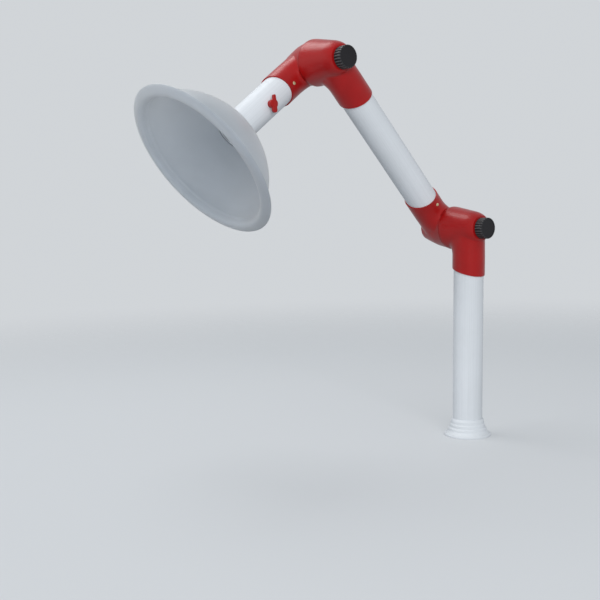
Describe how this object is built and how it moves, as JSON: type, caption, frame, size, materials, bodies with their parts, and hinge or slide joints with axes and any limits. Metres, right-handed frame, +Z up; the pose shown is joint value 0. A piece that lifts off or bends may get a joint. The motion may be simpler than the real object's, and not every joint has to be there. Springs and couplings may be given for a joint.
{
  "type": "fume extraction arm",
  "caption": "Bench-mounted fume extraction arm: flanged post, swivel elbow joints with clamp knobs, plastic duct tubes, a butterfly damper and a domed collecting hood.",
  "frame": {"origin": "centre of the base flange's underside, on the bench top", "axes": "+Z up along the post, +X along the joint axes towards the clamp knobs, -Y the way the arm reaches"},
  "size_m": [0.4616, 0.8455, 0.9814],
  "materials": {
    "white_plastic": "satin",
    "red_plastic": "semi-gloss",
    "black_plastic": "satin",
    "milky_plastic": "milky, translucent",
    "rubber": "matt",
    "steel": "zinc plated",
    "yellow_zinc": "yellow zinc plated",
    "brass": "machined"
  },
  "bodies": {
    "base": {"base_flange": "white_plastic", "base_seal_ring": "rubber"},
    "post": {"post_tube": "white_plastic", "lower_knob_elbow": "red_plastic", "lower_knob_elbow_screw": "yellow_zinc", "lower_seal_ring": "rubber", "lower_knob_washer": "steel"},
    "lower_clamp": {"lower_knob": "black_plastic", "lower_knob_insert": "brass"},
    "arm": {"lower_plain_elbow": "red_plastic", "lower_plain_elbow_screw": "yellow_zinc", "lower_tie_rod": "steel", "lower_nut_washer": "steel", "lower_cap_nut": "steel", "arm_tube": "white_plastic", "upper_knob_elbow": "red_plastic", "upper_knob_elbow_screw": "yellow_zinc", "upper_seal_ring": "rubber", "upper_knob_washer": "steel"},
    "upper_clamp": {"upper_knob": "black_plastic", "upper_knob_insert": "brass"},
    "hood_arm": {"upper_plain_elbow": "red_plastic", "upper_plain_elbow_screw": "yellow_zinc", "upper_tie_rod": "steel", "upper_nut_washer": "steel", "upper_cap_nut": "steel", "hood_tube": "white_plastic", "hood": "milky_plastic", "damper_bush": "red_plastic", "damper_cap": "red_plastic"},
    "damper": {"damper_spindle": "steel", "damper_disc": "white_plastic", "damper_handle": "red_plastic"}
  },
  "joints": [
    {"name": "post_swivel", "type": "hinge", "parent": "base", "child": "post", "pos_m": [0, 0, 0.02], "axis": [0, 0, 1], "continuous": true},
    {"name": "lower_pivot", "type": "hinge", "parent": "post", "child": "arm", "pos_m": [0, 0, 0.532], "axis": [1, 0, 0], "range_deg": [-132.5, 47.5]},
    {"name": "lower_knob_turn", "type": "hinge", "parent": "post", "child": "lower_clamp", "pos_m": [0.05, 0, 0.532], "axis": [1, 0, 0], "range_deg": [-180, 180]},
    {"name": "upper_pivot", "type": "hinge", "parent": "arm", "child": "hood_arm", "pos_m": [-0.0975, -0.36212, 0.92718], "axis": [1, 0, 0], "range_deg": [-225, 55]},
    {"name": "upper_knob_turn", "type": "hinge", "parent": "arm", "child": "upper_clamp", "pos_m": [-0.0475, -0.36212, 0.92718], "axis": [1, 0, 0], "range_deg": [-180, 180]},
    {"name": "damper_turn", "type": "hinge", "parent": "hood_arm", "child": "damper", "pos_m": [-0.195, -0.49223, 0.82734], "axis": [1, 0, 0], "range_deg": [-55, 35]}
  ]
}
